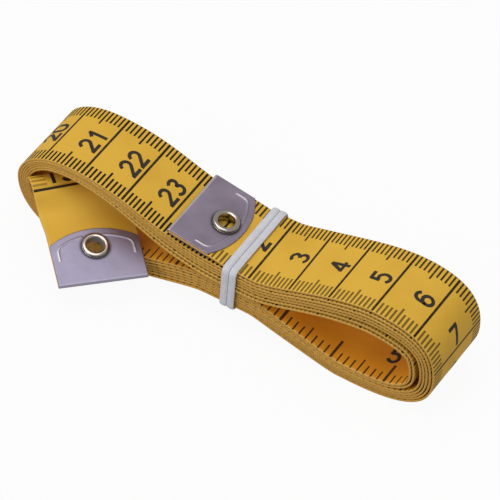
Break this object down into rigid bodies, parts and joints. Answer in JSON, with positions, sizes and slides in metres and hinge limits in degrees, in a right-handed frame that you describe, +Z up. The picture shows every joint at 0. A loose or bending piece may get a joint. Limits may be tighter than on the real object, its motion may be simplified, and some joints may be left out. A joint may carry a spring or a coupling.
{
  "type": "cloth tape measure",
  "caption": "Flexible cloth sewing tape measure wound into a flat hank, pinched at its waist by a doubled elastic band, with eyeleted metal tips on its ends.",
  "frame": {"origin": "middle of the whole object's box in X and Y, at the surface that the hank rests on", "axes": "+X along the hank towards its larger loop, +Y across the tape away from the side where the inner end comes out, +Z up"},
  "size_m": [0.0998, 0.038, 0.0233],
  "materials": {
    "tape_cloth": "coated cloth, yellow, printed black",
    "tip_steel": "grey satin pressed sheet",
    "eyelet_metal": "bright rolled rim",
    "band_elastic": "pale elastic, satin"
  },
  "bodies": {
    "hank": {"tape_hank": "tape_cloth"},
    "start_end": {"tape_start_end": "tape_cloth", "start_tip": "tip_steel", "start_eyelet": "eyelet_metal"},
    "tail_end": {"tape_tail": "tape_cloth", "tail_tip": "tip_steel", "tail_eyelet": "eyelet_metal"},
    "band": {"elastic_band": "band_elastic"}
  },
  "joints": [
    {"name": "start_end_lift", "type": "hinge", "parent": "hank", "child": "start_end", "pos_m": [-0.00024, 0.00818, 0.0155], "axis": [0, 1, 0], "range_deg": [0, 45], "stiffness_Nm_per_rad": 0.004},
    {"name": "tail_end_bend", "type": "hinge", "parent": "hank", "child": "tail_end", "pos_m": [-0.03102, -0.00277, 0.00986], "axis": [-0.6745, -0.73, 0.1104], "range_deg": [-4, 17], "stiffness_Nm_per_rad": 0.004},
    {"name": "band_slide", "type": "slide", "parent": "hank", "child": "band", "axis": [1, 0, 0], "range_m": [0, 0.003]}
  ]
}
